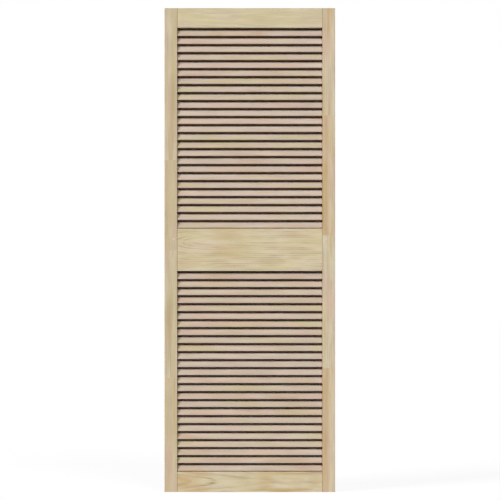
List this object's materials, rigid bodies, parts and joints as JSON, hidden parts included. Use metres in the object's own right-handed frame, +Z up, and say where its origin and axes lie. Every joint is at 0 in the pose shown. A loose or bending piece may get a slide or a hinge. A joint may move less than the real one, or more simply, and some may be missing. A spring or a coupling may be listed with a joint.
{
  "type": "louvred wardrobe door",
  "caption": "Tall louvred pine door leaf: stiles and rails hold two banks of fixed tilted slats, which close a wardrobe and let air through.",
  "frame": {"origin": "middle of the leaf's bottom edge, halfway through its thickness", "axes": "+Z up along the stiles, +Y through the leaf from front to back, +X to the right seen from the front"},
  "size_m": [0.594, 0.021, 1.685],
  "materials": {
    "frame_pine": "sanded, unfinished",
    "slat_pine": "sanded, unfinished",
    "pin_steel": "bright wire",
    "wood_filler": "pale filler, sanded flush"
  },
  "bodies": {
    "root": {"left_stile": "frame_pine", "right_stile": "frame_pine", "top_rail": "frame_pine", "middle_rail": "frame_pine", "bottom_rail": "frame_pine", "upper_slat_01": "slat_pine", "upper_slat_02": "slat_pine", "upper_slat_03": "slat_pine", "upper_slat_04": "slat_pine", "upper_slat_05": "slat_pine", "upper_slat_06": "slat_pine", "upper_slat_07": "slat_pine", "upper_slat_08": "slat_pine", "upper_slat_09": "slat_pine", "upper_slat_10": "slat_pine", "upper_slat_11": "slat_pine", "upper_slat_12": "slat_pine", "upper_slat_13": "slat_pine", "upper_slat_14": "slat_pine", "upper_slat_15": "slat_pine", "upper_slat_16": "slat_pine", "upper_slat_17": "slat_pine", "upper_slat_18": "slat_pine", "upper_slat_19": "slat_pine", "upper_slat_20": "slat_pine", "upper_slat_21": "slat_pine", "upper_slat_22": "slat_pine", "upper_slat_23": "slat_pine", "upper_slat_24": "slat_pine", "upper_slat_25": "slat_pine", "lower_slat_01": "slat_pine", "lower_slat_02": "slat_pine", "lower_slat_03": "slat_pine", "lower_slat_04": "slat_pine", "lower_slat_05": "slat_pine", "lower_slat_06": "slat_pine", "lower_slat_07": "slat_pine", "lower_slat_08": "slat_pine", "lower_slat_09": "slat_pine", "lower_slat_10": "slat_pine", "lower_slat_11": "slat_pine", "lower_slat_12": "slat_pine", "lower_slat_13": "slat_pine", "lower_slat_14": "slat_pine", "lower_slat_15": "slat_pine", "lower_slat_16": "slat_pine", "lower_slat_17": "slat_pine", "lower_slat_18": "slat_pine", "lower_slat_19": "slat_pine", "lower_slat_20": "slat_pine", "lower_slat_21": "slat_pine", "lower_slat_22": "slat_pine", "lower_slat_23": "slat_pine", "lower_slat_24": "slat_pine", "lower_slat_25": "slat_pine", "joint_pins": "pin_steel", "pin_filler": "wood_filler"}
  },
  "joints": []
}
